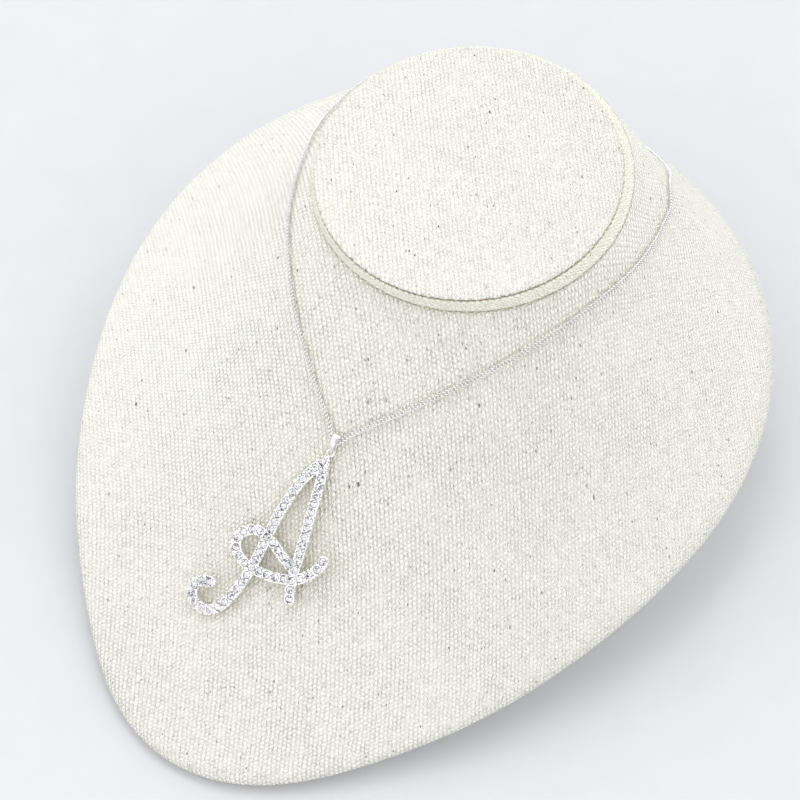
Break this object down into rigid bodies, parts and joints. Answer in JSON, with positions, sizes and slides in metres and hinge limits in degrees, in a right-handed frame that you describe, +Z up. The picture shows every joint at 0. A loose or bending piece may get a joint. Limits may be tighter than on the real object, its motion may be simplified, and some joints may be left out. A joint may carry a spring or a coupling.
{
  "type": "pendant necklace on a neck bust",
  "caption": "Openwork script-initial pendant set with round stones, hung by a flared bail on a fine curb chain, lying on a low cloth-covered neck bust.",
  "frame": {"origin": "centre of the bounding box in plan, on the table surface under the bust", "axes": "+X to the right, +Y from the chest's tip to the neck end, +Z up from the table"},
  "size_m": [0.2336, 0.2852, 0.1131],
  "materials": {
    "linen": "plain-woven off-white linen with sparse dark flecks",
    "silver": "polished white metal",
    "stone": "clear faceted stone"
  },
  "bodies": {
    "root": {"bust_body": "linen", "neck_band": "linen", "neck_pad": "linen", "chain": "silver", "clasp": "silver", "bail": "silver", "frame": "silver", "stones": "stone"}
  },
  "joints": []
}
